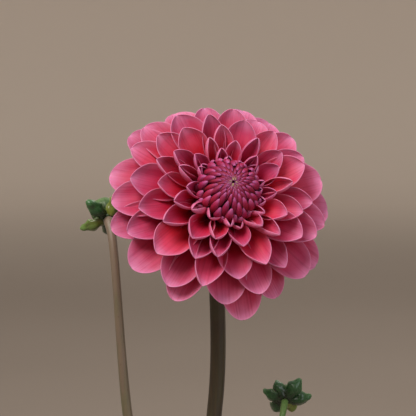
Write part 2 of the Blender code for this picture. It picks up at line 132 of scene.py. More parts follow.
def label_all(mesh, **labels):
    """Gives every point of a plain body the same value under each name that a finish reads."""
    for label, value in labels.items():
        mesh.attributes.new(label, "FLOAT", "POINT").data.foreach_set("value", [value] * len(mesh.vertices))


def place_on(mesh, head):
    """Moves a mesh that is in metres by a matrix that is in millimetres."""
    mesh.transform(Matrix.Scale(0.001, 4) @ head @ Matrix.Scale(1000, 4))


def join(first, pieces):
    """Makes one mesh of all the pieces, under the first one's name."""
    with bpy.context.temp_override(active_object=first, selected_editable_objects=pieces, selected_objects=pieces):
        bpy.ops.object.join()


def turned(name, outline, segments, finish, ripple=None):
    """Turns an outline of (radius, height) from one pole to the other. Its first and last points lie on the axis."""
    rings = outline[1:-1]
    angles = np.arange(segments) * 2 * math.pi / segments
    points = [(0, 0, outline[0][1])]
    for radius, height in rings:
        swell = ripple(angles, height) if ripple else 0 * angles
        for angle, more in zip(angles, swell):
            points.append(((radius + more) * math.cos(angle), (radius + more) * math.sin(angle), height))
    points.append((0, 0, outline[-1][1]))
    last = len(points) - 1
    faces = []
    for i in range(segments):
        j = (i + 1) % segments
        faces.append((0, 1 + j, 1 + i))
        for ring in range(len(rings) - 1):
            a, b = 1 + ring * segments, 1 + (ring + 1) * segments
            faces.append((a + i, a + j, b + j, b + i))
        a = 1 + (len(rings) - 1) * segments
        faces.append((a + i, a + j, last))
    return solid(name, points, faces, finish)


def oat_glaze_on_stoneware():
    """Stoneware dipped in a satin oat glaze: iron specks come through it, and it breaks to rust brown where it
    runs thin, on the lip and just over the foot. Below that the clay is bare, sandy and matt."""
    finish, tree, shader, place = new_finish("oat_glaze_on_stoneware")
    height = put(tree, "SeparateXYZ", {0: place}, out="Z")
    # a slow drift in the glaze's thickness, about 30 mm across
    drift = put(tree, "TexNoise", {"Vector": place, "Scale": 34.0, "Detail": 3.0})
    glaze = set_ramp(put(tree, "ValToRGB", {"Fac": drift}, out=None),
                     [(0.3, "#b9ab95"), (0.5, "#c8bca8"), (0.7, "#d3c9b8")])
    # iron specks 0.5 to 1 mm across, some 3 mm apart
    cell = put(tree, "TexVoronoi", {"Vector": place, "Scale": 330.0}, out=None)
    chance = put(tree, "SeparateXYZ", {0: cell.outputs["Color"]}, out="X")
    reach = put(tree, "MapRange", {"Value": chance, "From Min": 0.55, "From Max": 1.0,
                                   "To Min": 0.0, "To Max": 0.34})
    speck = put(tree, "Math", {0: cell.outputs["Distance"], 1: reach}, operation="LESS_THAN")
    speckled = put(tree, "Mix", {0: speck, 6: glaze, 7: linear("#5d4631")}, data_type="RGBA", out=2)
    # where the glaze is thin it breaks brown: over the lip, and in a band above the foot
    ragged = put(tree, "TexNoise", {"Vector": place, "Scale": 160.0, "Detail": 4.0})
    wander = put(tree, "Math", {0: ragged, 1: 0.004, 2: -0.002}, operation="MULTIPLY_ADD")
    level = put(tree, "Math", {0: height, 1: wander}, operation="ADD")
    lip = put(tree, "MapRange", {"Value": level, "From Min": 0.1615, "From Max": 0.1648})
    band = put(tree, "MapRange", {"Value": level, "From Min": 0.0105, "From Max": 0.0060})
    thin = put(tree, "Math", {0: lip, 1: band}, operation="MAXIMUM")
    thin = put(tree, "Math", {0: thin, 1: 0.75}, operation="MULTIPLY")
    broken = put(tree, "Mix", {0: thin, 6: speckled, 7: linear("#8a5f3c")}, data_type="RGBA", out=2)
    sand = put(tree, "TexNoise", {"Vector": place, "Scale": 900.0, "Detail": 5.0})
    clay = set_ramp(put(tree, "ValToRGB", {"Fac": sand}, out=None), [(0.3, "#7f6048"), (0.7, "#a58468")])
    bare = put(tree, "Math", {0: level, 1: 0.0052}, operation="LESS_THAN")
    colour = put(tree, "Mix", {0: bare, 6: broken, 7: clay}, data_type="RGBA", out=2)
    gloss = put(tree, "MapRange", {"Value": drift, "To Min": 0.26, "To Max": 0.40})
    gloss = put(tree, "Mix", {0: bare, 2: gloss, 3: 0.85}, data_type="FLOAT")
    relief = put(tree, "Math", {0: ragged, 1: sand}, operation="ADD")
    bump = put(tree, "Bump", {"Height": relief, "Strength": 0.18, "Distance": 0.0003})
    feed(tree, shader, {"Base Color": colour, "Roughness": gloss, "Normal": bump, "IOR": 1.52})
    return finish


def vase_radius(height):
    if height >= 123:
        return 15.0
    if height >= 55:
        return between(38.5, 15.0, ease((height - 55) / 68))
    share = height / 55
    return between(30.0, 38.5, ease(share)) + 0.35 * 55 * share * (1 - share) ** 2


vase_outline = [(0, 1.1), (20.5, 1.1), (23.5, 0.7), (25.2, 0.0), (28.6, 0.0), (29.6, 0.5), (30.3, 1.3)]
vase_outline += [(vase_radius(h) - (0.5 if h < 5.2 else 0.0), h) for h in (2.4, 3.6, 4.8, 5.6, 6.8, 8.2)]
vase_outline += [(vase_radius(h), h) for h in np.linspace(9.6, 160.6, 112)]
vase_outline += [(15.35, 161.6), (15.6, 162.5), (15.62, 163.3), (15.35, 164.1), (14.8, 164.7), (14.0, 165.0),
                 (13.2, 164.98), (12.4, 164.5), (11.85, 163.7), (11.6, 162.6), (11.5, 161.2)]
vase_outline += [(vase_radius(h) - 3.5, h) for h in np.linspace(160, 14, 64)]
inner_corner = vase_radius(13) - 3.5 - 7
vase_outline += [(inner_corner + 7 * math.cos(a), 13 + 7 * math.sin(a))
                 for a in np.radians([-8, -25, -42, -60, -76])]
vase_outline += [(inner_corner - 1, 6.0), (12, 6.0), (0, 6.0)]


def throwing_rings(angles, height):
    """The faint spiral rings that the potter's fingers leave, 5 mm apart, strongest on the belly."""
    strength = 0.13 * ease((height - 9) / 20) * ease((150 - height) / 40)
    return strength * np.sin(2 * math.pi * height / 5.2 + angles) + 0.05 * strength * np.sin(3 * angles)


vase = turned("stoneware_bud_vase", vase_outline, 128, oat_glaze_on_stoneware(), throwing_rings)
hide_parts("vase")
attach(vase, "root")

# ----------------------------------------
# The water: tap water to just under the shoulder, poured in through the neck. The three stems
# stand in it, and their cut ends have tinted it very slightly green.
# ----------------------------------------


def standing_water():
    """Clear water a day old: it takes a breath of green from the stems, deeper in some places than in others."""
    finish, tree, shader, place = new_finish("standing_water")
    cloud = put(tree, "TexNoise", {"Vector": place, "Scale": 40.0, "Detail": 2.0})
    colour = set_ramp(put(tree, "ValToRGB", {"Fac": cloud}, out=None), [(0.3, "#dfeae2"), (0.7, "#eef4f0")])
    still = put(tree, "MapRange", {"Value": cloud, "To Min": 0.01, "To Max": 0.04})
    feed(tree, shader, {"Base Color": colour, "Roughness": still, "Transmission Weight": 1.0, "IOR": 1.333})
    return finish


water = frame["nodes"]["water"]
water.data.materials.clear()
water.data.materials.append(standing_water())

# ----------------------------------------
# The stems: one thick stem to the open flower and two thinner side shoots to the buds, leaning on
# the vase's lip. Each is a round, faintly ribbed tube of plant fibre, old and brownish on the flower,
# green and young on the smallest bud.
# ----------------------------------------


def head_matrix(x, y, z, nod, turn):
    """Where a flower head sits: its own Z axis is the way that it looks."""
    place = Matrix.Translation((x, y, z))
    return place @ Euler((math.radians(nod), 0, math.radians(turn))).to_matrix().to_4x4()


bloom_head = head_matrix(15.5, -23, 390, 62.4, 13.4)
left_head = head_matrix(-42.0, 14, 377.3, -62, 18)
right_head = head_matrix(48.3, 12, 284, -64, -8)


def stem_points(radius, bearing, foot, passing, lean, head, depth, neck, count):
    """The middle line of a stem: straight inside the vase, then in two easy curves up to its flower head."""
    reach = 11.2 - radius
    angle = math.radians(bearing)
    mouth = Vector((reach * math.cos(angle), reach * math.sin(angle), 163.25))
    slope = math.atan(math.hypot(mouth.x - foot[0], mouth.y - foot[1]) / 163.25)
    stand = Vector((*foot, 6.3 + radius * math.sin(slope)))
    halfway = Vector((passing[1], passing[2], 165 + passing[0]))
    joint = head @ Vector((0, 0, -depth - 0.3))
    below, above = mouth - stand, halfway - mouth
    axis = (head.to_3x3() @ Vector((0, 0, 1))).normalized()
    up = Vector((*lean, 1)).normalized()
    knots = [(stand, below / 3, below / 3), (mouth, below.normalized() * above.length / 3, None),
             (halfway, up * above.length / 3, None), (joint, axis * neck, None)]
    points = []
    for k in range(3):
        start, end = knots[k], knots[k + 1]
        a, d = start[0], end[0]
        b, c = a + start[1], d - end[1]
        for t in np.linspace(0, 1, count)[(1 if k else 0):]:
            s = 1 - t
            points.append(a * s**3 + b * 3 * s * s * t + c * 3 * s * t * t + d * t**3)
    return points


def swept(name, points, width, finish, segments=28, ribs=9, rib_height=0.02):
    """A closed round bar along points. width(share) is its radius, and shallow ribs run its whole length."""
    points = [Vector(p) for p in points]
    lengths = np.concatenate([[0], np.cumsum([(b - a).length for a, b in zip(points, points[1:])])])
    shares = lengths / lengths[-1]
    rings, along, around, side = [], [], [], Vector((1, 0, 0))
    for i, point in enumerate(points):
        ahead = (points[min(i + 1, len(points) - 1)] - points[max(i - 1, 0)]).normalized()
        side = (side - ahead * side.dot(ahead)).normalized()
        other = ahead.cross(side)
        for j in range(segments):
            angle = 2 * math.pi * j / segments
            radius = width(shares[i]) * (1 + rib_height * math.cos(ribs * angle + 0.6 * math.sin(3 * shares[i])))
            rings.append(point + (side * math.cos(angle) + other * math.sin(angle)) * radius)
            along.append(shares[i])
            around.append(j / segments)
    faces = []
    for i in range(len(points) - 1):
        for j in range(segments):
            k = (j + 1) % segments
            a, b = i * segments, (i + 1) * segments
            faces.append((a + j, a + k, b + k, b + j))
    rings += [points[0], points[-1]]
    along, around = along + [0, 1], around + [0, 0]
    foot, top, last = len(rings) - 2, len(rings) - 1, (len(points) - 1) * segments
    for j in range(segments):
        k = (j + 1) % segments
        faces += [(foot, k, j), (last + j, last + k, top)]
    made = solid(name, [tuple(p) for p in rings], faces, finish)
    made.data.attributes.new("along", "FLOAT", "POINT").data.foreach_set("value", along)
    return made


def dahlia_stalk(name, low, high, streak, patch, patchiness):
    """The skin of a dahlia stalk: waxy and satin, with fibres that show as fine lengthwise streaks about
    half a millimetre apart, green patches and small red-brown flecks."""
    finish, tree, shader, place = new_finish(name)
    along = put(tree, "Attribute", attribute_name="along", out="Fac")
    # towards the head the skin goes over to its second colour; on the side shoot that pale grey is painted sheen
    near_head = put(tree, "MapRange", {"Value": along, "From Min": 0.45, "From Max": 0.98})
    base = put(tree, "Mix", {0: near_head, 6: linear(low), 7: linear(high)}, data_type="RGBA", out=2)
    drawn = put(tree, "Mapping", {"Vector": place, "Scale": (1.0, 1.0, 0.035)})
    fibre = put(tree, "TexNoise", {"Vector": drawn, "Scale": 1300.0, "Detail": 3.0})
    fibre_share = put(tree, "MapRange", {"Value": fibre, "From Min": 0.42, "From Max": 0.66, "To Max": 0.5})
    lined = put(tree, "Mix", {0: fibre_share, 6: base, 7: linear(streak)}, data_type="RGBA", out=2)
    stretched = put(tree, "Mapping", {"Vector": place, "Scale": (1.0, 1.0, 0.25)})
    cloud = put(tree, "TexNoise", {"Vector": stretched, "Scale": 150.0, "Detail": 3.0})
    green = put(tree, "MapRange", {"Value": cloud, "From Min": 0.46, "From Max": 0.66, "To Max": patchiness})
    patched = put(tree, "Mix", {0: green, 6: lined, 7: linear(patch)}, data_type="RGBA", out=2)
    cell = put(tree, "TexVoronoi", {"Vector": stretched, "Scale": 900.0})
    fleck = put(tree, "MapRange", {"Value": cell, "From Min": 0.16, "From Max": 0.10, "To Max": 0.55})
    colour = put(tree, "Mix", {0: fleck, 6: patched, 7: linear("#4a1f14")}, data_type="RGBA", out=2)
    wax = put(tree, "MapRange", {"Value": cloud, "To Min": 0.38, "To Max": 0.58})
    bump = put(tree, "Bump", {"Height": fibre, "Strength": 0.35, "Distance": 0.0002})
    feed(tree, shader, {"Base Color": colour, "Roughness": wax, "Normal": bump, "Sheen Weight": 0.15,
                        "Sheen Roughness": 0.4})
    return finish


old_stalk = dahlia_stalk("old_dahlia_stalk", "#2b2515", "#33281a", "#46371f", "#3a3c1c", 0.4)
# the side shoot's pale grey towards its head is painted sheen
shoot_stalk = dahlia_stalk("side_shoot_stalk", "#473e26", "#77675a", "#76684f", "#4d5632", 0.5)
young_stalk = dahlia_stalk("young_dahlia_stalk", "#3f5a24", "#4d7030", "#6e8a48", "#3c6428", 0.5)

main_stem = swept(
    "flower_stem", stem_points(3.9, 40, (-2.5, 8.7), (120, 12.6, 8), (0.1, 0), bloom_head, 9, 20, 40),
    lambda s: 3.9 * (1 + 0.05 * math.sin(9 * s) * (1 - s)) + 0.55 * float(ease((s - 0.965) / 0.035)), old_stalk)
left_stem = swept(
    "left_shoot_stem", stem_points(3.0, 180, (13, -4), (120, -33, 5), (-0.1, 0), left_head, 0, 16, 40),
    lambda s: 3.0 * (1 + 0.04 * math.sin(11 * s) * (1 - s)) - 0.8 * float(ease((s - 0.45) / 0.5))
    + 0.5 * float(ease((s - 0.97) / 0.03)), shoot_stalk)
right_stem = swept(
    "right_shoot_stem", stem_points(1.5, -50, (-14, -13), (70, 34, 0), (0.36, 0), right_head, 0, 14, 36),
    lambda s: 1.5 + 0.08 * math.sin(13 * s) * (1 - s) + 0.35 * float(ease((s - 0.96) / 0.04)), young_stalk,
    segments=20, ribs=7)
for piece, node, slot in ((main_stem, "main_stem", "mature_stem"), (left_stem, "left_bud_stem", "mature_stem"),
                          (right_stem, "right_bud_stem", "young_stem")):
    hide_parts(node)
    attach(piece, "root")

# ----------------------------------------
# The receptacle: the swollen green end of the stem that carries every floret. It is a low dome
# over a short cone, grown in one with the stem, and only its cone shows, behind the flower.
# ----------------------------------------


def fleshy_green(name, dark, mid, light, rim, gloss):
    """The skin of a young bract: thick, waxy and bright green, darker towards its foot, with lengthwise
    veins about a millimetre apart and a paler rim where it is thin enough to let light through."""
    finish, tree, shader, place = new_finish(name)
    along, across, margin, tone = (put(tree, "Attribute", attribute_name=label, out="Fac")
                                   for label in ("along", "across", "margin", "tone"))
    cloud = put(tree, "TexNoise", {"Vector": place, "Scale": 260.0, "Detail": 3.0})
    ripe = put(tree, "Math", {0: cloud, 1: 0.5, 2: -0.25}, operation="MULTIPLY_ADD")
    ripe = put(tree, "Math", {0: ripe, 1: along}, operation="ADD")
    grown = set_ramp(put(tree, "ValToRGB", {"Fac": ripe}, out=None), [(0.05, dark), (0.45, mid), (0.95, light)])
    vein_place = put(tree, "CombineXYZ", {0: across, 1: along, 2: tone})
    vein_place = put(tree, "Mapping", {"Vector": vein_place, "Scale": (1.8, 0.9, 30.0)})
    vein = put(tree, "TexNoise", {"Vector": vein_place, "Scale": 1.0, "Detail": 2.0})
    vein_share = put(tree, "MapRange", {"Value": vein, "From Min": 0.52, "From Max": 0.72, "To Max": 0.4})
    veined = put(tree, "Mix", {0: vein_share, 6: grown, 7: linear(dark)}, data_type="RGBA", out=2)
    rim_share = put(tree, "MapRange", {"Value": margin, "From Min": 0.9, "From Max": 0.1, "To Max": 0.55})
    colour = put(tree, "Mix", {0: rim_share, 6: veined, 7: linear(rim)}, data_type="RGBA", out=2)
    # here and there one is turning yellow
    aged = put(tree, "MapRange", {"Value": tone, "From Min": 0.86, "From Max": 1.0, "To Max": 0.55})
    colour = put(tree, "Mix", {0: aged, 6: colour, 7: linear("#7d8434")}, data_type="RGBA", out=2)
    shade = put(tree, "MapRange", {"Value": tone, "To Min": 0.8, "To Max": 1.15})
    colour = put(tree, "HueSaturation", {"Color": colour, "Value": shade})
    wax = put(tree, "MapRange", {"Value": cloud, "To Min": gloss, "To Max": gloss + 0.14})
    bump = put(tree, "Bump", {"Height": vein, "Strength": 0.3, "Distance": 0.0003})
    feed(tree, shader, {"Base Color": colour, "Roughness": wax, "Normal": bump, "Subsurface Weight": 0.12,
                        "Subsurface Radius": (0.4, 1.0, 0.2), "Subsurface Scale": 0.0012})
    return finish


bract_skin = fleshy_green("fleshy_bract_skin", "#10240f", "#244a28", "#3f6e42", "#6f9264", 0.2)
receptacle_outline = [(0, -9.2), (3.9, -9.2), (4.5, -8.9), (5.2, -8.2), (6.2, -7.4), (7.6, -6.4), (9.0, -5.1),
                      (10.1, -3.9), (11.2, -2.6), (11.8, -1.2), (12.0, 0.0)]
receptacle_outline += [(12 * math.cos(a), 7 * math.sin(a)) for a in np.radians([14, 28, 42, 56, 68, 80])] + [(0, 7)]
receptacle = turned("receptacle_of_the_bloom", receptacle_outline, 40, bract_skin,
                    lambda angles, height: (0.18 * np.cos(10 * angles) if height < -2 else 0 * angles))
place_on(receptacle.data, bloom_head)
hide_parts("receptacle")
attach(receptacle, "root")

# ----------------------------------------
# The bracts: small fleshy green leaves in a whorl round the neck of each head. Five lie back
# against the bloom's receptacle, and five and six spread wide behind the two young buds.
# ----------------------------------------


def leaf(name, length, width, heading, roll, thickness, rows=26, columns=16, pleat=None, sway=0.0):
    """A closed leaf, floret or scale that starts at the origin and runs out along X, with its inner face up.

    width, heading and roll give half its width in mm, the way that its midrib points and half the angle that
    its cross-section is rolled through, each for a share of its length. pleat raises the face, in mm."""
    steps = np.linspace(0, 1, rows + 1)
    v = 1 - (1 - steps) ** 1.45
    u = np.sin(np.linspace(-1, 1, columns + 1) * 1.35) / math.sin(1.35)
    fine = np.linspace(0, 1, 401)
    way = heading(fine)
    step = length / 400
    reach = np.concatenate([[0], np.cumsum((np.cos(way[1:]) + np.cos(way[:-1])) / 2)]) * step
    climb = np.concatenate([[0], np.cumsum((np.sin(way[1:]) + np.sin(way[:-1])) / 2)]) * step
    x, z, h = (np.interp(v, fine, line)[:, None] for line in (reach, climb, way))
    w, phi = width(v)[:, None], roll(v)[:, None]
    side = w / phi * np.sin(phi * u) + sway * ease(v)[:, None] * np.abs(v[:, None])
    rise = w / phi * (1 - np.cos(phi * u))
    if pleat:
        rise = rise + pleat(u[None, :], v[:, None])
    face = np.stack([x - rise * np.sin(h), side + 0 * x, z + rise * np.cos(h)], axis=-1)
    run, spread = np.gradient(face, axis=0), np.gradient(face, axis=1)
    normal = np.cross(run, spread)
    normal /= np.linalg.norm(normal, axis=-1, keepdims=True) + 1e-9
    edge = np.minimum((1 - np.abs(u))[None, :] * w, (1 - v)[:, None] * length * 0.8)
    body = thickness * (0.55 + 0.45 * ease(edge / 2.0))
    back = face - normal * body[..., None]
    across = columns + 1
    points = np.concatenate([face.reshape(-1, 3), back.reshape(-1, 3)])
    under = (rows + 1) * across
    faces = []
    for i in range(rows):
        for j in range(columns):
            a, b = i * across + j, (i + 1) * across + j
            faces.append((a, b, b + 1, a + 1))
            faces.append((under + a, under + a + 1, under + b + 1, under + b))
    for i in range(rows):
        a, b = i * across, (i + 1) * across
        faces.append((a, under + a, under + b, b))
        a, b = a + columns, b + columns
        faces.append((a, b, under + b, under + a))
    last = rows * across
    for j in range(columns):
        faces.append((j, j + 1, under + j + 1, under + j))
        faces.append((last + j, under + last + j, under + last + j + 1, last + j + 1))
    made = solid(name, points, faces)
    grid = np.ones((rows + 1, across))
    for label, value in (("along", grid * v[:, None]), ("across", w * u[None, :]), ("margin", edge * grid)):
        both = np.concatenate([value.ravel(), value.ravel()]).astype(np.float32)
        made.data.attributes.new(label, "FLOAT", "POINT").data.foreach_set("value", both)
    below = np.concatenate([np.zeros(under), np.ones(under)]).astype(np.float32)
    made.data.attributes.new("underside", "FLOAT", "POINT").data.foreach_set("value", below)
    return made


def spiral_tree():
    """Geometry Nodes: leaves set round an axis, each the golden angle on from the one before, while their place,
    tilt and size go from the outermost one's to the innermost one's. An even whorl has its own step angle."""
    tree = bpy.data.node_groups.new("spiral_of_leaves", "GeometryNodeTree")
    tree.interface.new_socket("Geometry", in_out="OUTPUT", socket_type="NodeSocketGeometry")
    laws = ("radius", "height", "tilt", "size", "age")
    kinds = {"Leaves": "Int", "First number": "Int", "Step angle": "Float", "Turn": "Float"}
    kinds |= {f"{end} {name}": "Float" for name in laws for end in ("Outer", "Inner")}
    kinds |= {"Unevenness": "Float", "Seed": "Int", "Leaf A": "Object", "Leaf B": "Object", "Leaf C": "Object",
              "Finish": "Material"}
    for name, kind in kinds.items():
        tree.interface.new_socket(name, in_out="INPUT", socket_type="NodeSocket" + kind)
    given = put(tree, "NodeGroupInput", out=None).outputs
    number = put(tree, "GeometryNodeInputIndex")
    last = put(tree, "Math", {0: given["Leaves"], 1: 1.0}, operation="SUBTRACT")
    last = put(tree, "Math", {0: last, 1: 1.0}, operation="MAXIMUM")
    share = put(tree, "Math", {0: number, 1: last}, operation="DIVIDE")
    law = {}
    for name in laws:
        law[name] = put(tree, "Mix", {0: share, 2: given["Outer " + name], 3: given["Inner " + name]},
                        data_type="FLOAT")
    chance = []
    for offset in range(5):
        seed = put(tree, "Math", {0: given["Seed"], 1: float(offset * 17)}, operation="ADD")
        roll = put(tree, "FunctionNodeRandomValue", {2: -1.0, 3: 1.0, "Seed": seed}, data_type="FLOAT", out=1)
        chance.append(put(tree, "Math", {0: roll, 1: given["Unevenness"]}, operation="MULTIPLY"))
    counted = put(tree, "Math", {0: number, 1: given["First number"]}, operation="ADD")
    bearing = put(tree, "Math", {0: counted, 1: given["Step angle"], 2: given["Turn"]}, operation="MULTIPLY_ADD")
    bearing = put(tree, "Math", {0: chance[0], 1: 0.045, 2: bearing}, operation="MULTIPLY_ADD")
    tilt = put(tree, "Math", {0: chance[1], 1: 0.035, 2: law["tilt"]}, operation="MULTIPLY_ADD")
    tilt = put(tree, "Math", {0: tilt, 1: -1.0}, operation="MULTIPLY")
    twist = put(tree, "Math", {0: chance[2], 1: 0.10}, operation="MULTIPLY")
    size = put(tree, "Math", {0: chance[3], 1: 0.045, 2: 1.0}, operation="MULTIPLY_ADD")
    size = put(tree, "Math", {0: size, 1: law["size"]}, operation="MULTIPLY")
    cosine = put(tree, "Math", {0: bearing}, operation="COSINE")
    sine = put(tree, "Math", {0: bearing}, operation="SINE")
    x = put(tree, "Math", {0: law["radius"], 1: cosine}, operation="MULTIPLY")
    y = put(tree, "Math", {0: law["radius"], 1: sine}, operation="MULTIPLY")
    spot = put(tree, "CombineXYZ", {0: x, 1: y, 2: law["height"]})
    points = put(tree, "GeometryNodePoints", {"Count": given["Leaves"], "Position": spot})
    patterns = put(tree, "GeometryNodeJoinGeometry", out=None)
    for name in ("Leaf A", "Leaf B", "Leaf C"):
        pattern = put(tree, "GeometryNodeObjectInfo", {"Object": given[name]}, out="Geometry")
        single = put(tree, "GeometryNodeGeometryToInstance", {0: pattern})
        tree.links.new(single, patterns.inputs[0])
    choice = put(tree, "Math", {0: counted, 1: 3.0}, operation="MODULO")
    turn = put(tree, "CombineXYZ", {0: twist, 1: tilt, 2: bearing})
    turn = put(tree, "FunctionNodeEulerToRotation", {0: turn})
    leaves = put(tree, "GeometryNodeInstanceOnPoints",
                 {"Points": points, "Instance": patterns.outputs[0], "Pick Instance": True,
                  "Instance Index": choice, "Rotation": turn, "Scale": size})
    for label, value in (("tone", put(tree, "Math", {0: chance[4], 1: 0.5, 2: 0.5},
                                      operation="MULTIPLY_ADD")), ("age", law["age"])):
        leaves = put(tree, "GeometryNodeStoreNamedAttribute", {"Geometry": leaves, "Name": label, "Value": value},
                     data_type="FLOAT", domain="INSTANCE")
    real = put(tree, "GeometryNodeRealizeInstances", {0: leaves})
    made = put(tree, "GeometryNodeSetMaterial", {"Geometry": real, "Material": given["Finish"]})
    put(tree, "NodeGroupOutput", {0: made}, out=None)
    return tree


spiral = spiral_tree()
GOLDEN = math.radians(137.508)


def set_round(name, patterns, finish, count, head, first=0, step=GOLDEN, turn=0.0, radius=(0, 0), height=(0, 0),
              tilt=(0, 0), size=(1, 1), age=(0, 0), unevenness=1.0, seed=1):
    """Runs the spiral tree with its named inputs and puts the finished leaves on a flower head, as one plain mesh.
    Each pair goes from the outermost leaf to the innermost."""
    holder = bpy.data.objects.new(name + "_spiral", bpy.data.meshes.new(name + "_spiral"))
    bpy.context.scene.collection.objects.link(holder)
    modifier = holder.modifiers.new("spiral", "NODES")
    modifier.node_group = spiral
    patterns = [patterns[i % len(patterns)] for i in range(3)]
    values = {"Leaves": count, "First number": first, "Step angle": step, "Turn": turn,
              "Unevenness": float(unevenness), "Seed": seed, "Leaf A": patterns[0], "Leaf B": patterns[1],
              "Leaf C": patterns[2], "Finish": finish}
    for law, pair, unit in (("radius", radius, 0.001), ("height", height, 0.001), ("tilt", np.radians(tilt), 1.0),
                            ("size", size, 1.0), ("age", age, 1.0)):
        for end, value in zip(("Outer", "Inner"), pair):
            values[f"{end} {law}"] = float(value) * unit
    for item in spiral.interface.items_tree:
        if item.item_type == "SOCKET" and item.in_out == "INPUT":
            modifier[item.identifier] = values[item.name]
    bpy.context.view_layer.update()
    graph = bpy.context.evaluated_depsgraph_get()
    mesh = bpy.data.meshes.new_from_object(holder.evaluated_get(graph))
    bpy.data.objects.remove(holder, do_unlink=True)
    mesh.name = name
    place_on(mesh, head)
    made = bpy.data.objects.new(name, mesh)
    bpy.context.scene.collection.objects.link(made)
    return made


def bract_pattern(name, length, half_width, start, end, cup, fold=0.8):
    """A thick, crumpled, spoon-shaped bract with a folded midrib and a hooded tip that comes to a point."""
    return leaf(
        name, length,
        lambda v: half_width * np.maximum(0.08, np.sin(math.pi * between(0.13, 0.985, v)) ** 0.72
                                        * (1 + 0.10 * np.sin(13 * v + length))),
        lambda v: np.radians(start + (end - start) * v + 12 * np.sin(11 * v + length) + 30 * ease((v - 0.7) / 0.3)),
        lambda v: cup * (0.9 + 0.35 * ease((v - 0.6) / 0.4)), 1.0, 30, 20,
        lambda u, v: (-fold * np.exp(-((u / 0.22) ** 2)) + 0.42 * np.sin(10 * v + 2.4 * u + length) * (1 - u**2)
                      + 0.34 * np.sin(17 * v - 3 * u + 2 * length) * u**2) * ease(v / 0.25) * ease((1.02 - v) / 0.25))


def bract_set(name, *shapes):
    return [bract_pattern(f"{name}_{letter}", *shape) for letter, shape in zip("abc", shapes)]


lying_bracts = bract_set("lying_bract", (17, 4.6, -22, -75, 0.5), (16, 4.3, -18, -80, 0.7),
                         (17.5, 4.5, -25, -70, 0.4))
bloom_bracts = set_round("bracts_behind_the_bloom", lying_bracts, bract_skin, 5, bloom_head,
                         step=math.radians(72), turn=math.radians(20), radius=(7.6, 7.6), height=(-6.9, -6.9),
                         unevenness=0.5, seed=4)
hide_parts(*[f"bloom_bract_{i}" for i in range(1, 6)])
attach(bloom_bracts, "root")

spread_bracts = bract_set("spread_bract", (13.6, 4.2, 4, 24, 1.0), (12.2, 3.8, 10, 34, 1.25),
                          (14.4, 4.0, -2, 18, 0.9))
left_bracts = set_round("bracts_of_the_left_bud", spread_bracts, bract_skin, 5, left_head,
                        step=math.radians(72), turn=math.radians(2), radius=(2.6, 2.6), height=(0.5, 0.5),
                        unevenness=2.2, seed=11)
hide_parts(*[f"left_bud_bract_{i}" for i in range(1, 6)])
small_bracts = bract_set("small_bract", (12.5, 4.2, 8, 42, 0.9), (11.3, 3.9, 14, 48, 1.1),
                         (13.0, 4.1, 2, 36, 0.8))
right_bracts = set_round("bracts_of_the_right_bud", small_bracts, bract_skin, 6, right_head,
                         step=math.radians(60), turn=math.radians(6), radius=(1.5, 1.5), height=(0.4, 0.4),
                         unevenness=2.2, seed=23)
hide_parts(*[f"right_bud_bract_{i}" for i in range(1, 7)])
for piece in (left_bracts, right_bracts):
    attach(piece, "root")

# ----------------------------------------
# The buds: two round unopened heads. Thin inner bracts wrap each one and overlap like roof
# tiles, and they meet at the tip, where the first red of the florets shows between them.
# ----------------------------------------


def spot_on(bulge, angle):
    """Radius and height of a rounded head (radius, half height, middle level) and the way up it, at an angle off
    its tip."""
    wide, tall, level = bulge
    return (wide * math.sin(angle), level + tall * math.cos(angle),
            math.atan2(tall * math.sin(angle), -wide * math.cos(angle)))


def foot_on(bulge, degrees, lift):
    """Radius, height and tilt at which the foot of a hugging scale stands."""
    radius, height, way = spot_on(bulge, math.radians(degrees))
    return radius, height, math.degrees(way) - lift


def hugging_pattern(name, bulge, from_angle, to_angle, half_width, thickness, lift=4.0, point=0.7, roll=0.75):
    """A scale that lies on a rounded head and runs up it, from one angle off its tip to a smaller one. It
    stands off by a few degrees of lift, and its tip curls back in."""
    line = np.array([spot_on(bulge, angle) for angle in np.radians(np.linspace(from_angle, to_angle, 60))])
    lengths = np.concatenate([[0], np.cumsum(np.hypot(*np.diff(line[:, :2], axis=0).T))])
    shares, ways, tuck = lengths / lengths[-1], line[:, 2], math.radians(lift)
    return leaf(
        name, float(lengths[-1]),
        lambda v: half_width * np.where(v < 0.45, between(0.62, 1.0, ease(v / 0.45)),
                                        np.maximum(0.05, (1 - ((v - 0.45) / 0.55) ** 2.2) ** point)),
        lambda v: np.interp(v, shares, ways) - ways[0] + tuck * 1.6 * ease((v - 0.55) / 0.45),
        lambda v: roll * (1.0 + 0.5 * ease((v - 0.5) / 0.5)), thickness, 16, 10)


bud_skin = fleshy_green("wrapping_bract_skin", "#2c4420", "#4a6a38", "#7c9a66", "#9d7a6a", 0.42)
for side, head, girth, neck, slot_nodes in (("left", left_head, 6.6, 3.0, "left_bud_heart"),
                                            ("right", right_head, 4.6, 1.5, "right_bud_heart")):
    level = 1.25 * girth
    core = [(0, -0.2), (neck, -0.2), (neck + 0.4, 0.3)]
    core += [(0.95 * girth * math.sin(a), level - 0.86 * girth * math.cos(a)) for a in np.radians(range(38, 176, 8))]
    core += [(0, level + 0.86 * girth)]
    heart = turned(f"{side}_bud_heart_of_scales", core, 32, bud_skin)
    place_on(heart.data, head)
    label_all(heart.data, along=0.15, across=0.0, margin=5.0, tone=0.2, age=0.0, underside=0.0)
    layers = [heart]
    for layer, (low, high, share) in enumerate([(142, 34, 0.98), (128, 12, 0.96)]):
        bulge = (girth * share, girth * share * 0.9, level)
        scale = hugging_pattern(f"{side}_scale_{layer}", bulge, low, high, girth * 0.62, 0.5)
        radius, height, tilt = foot_on(bulge, low, 4)
        layers.append(set_round(f"{side}_scales_{layer}", [scale], bud_skin, 8, head, first=layer * 8,
                                radius=(radius, radius), height=(height, height), tilt=(tilt, tilt),
                                unevenness=0.35, seed=31 + layer))
    join(heart, layers)
    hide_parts(slot_nodes)
    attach(heart, "root")

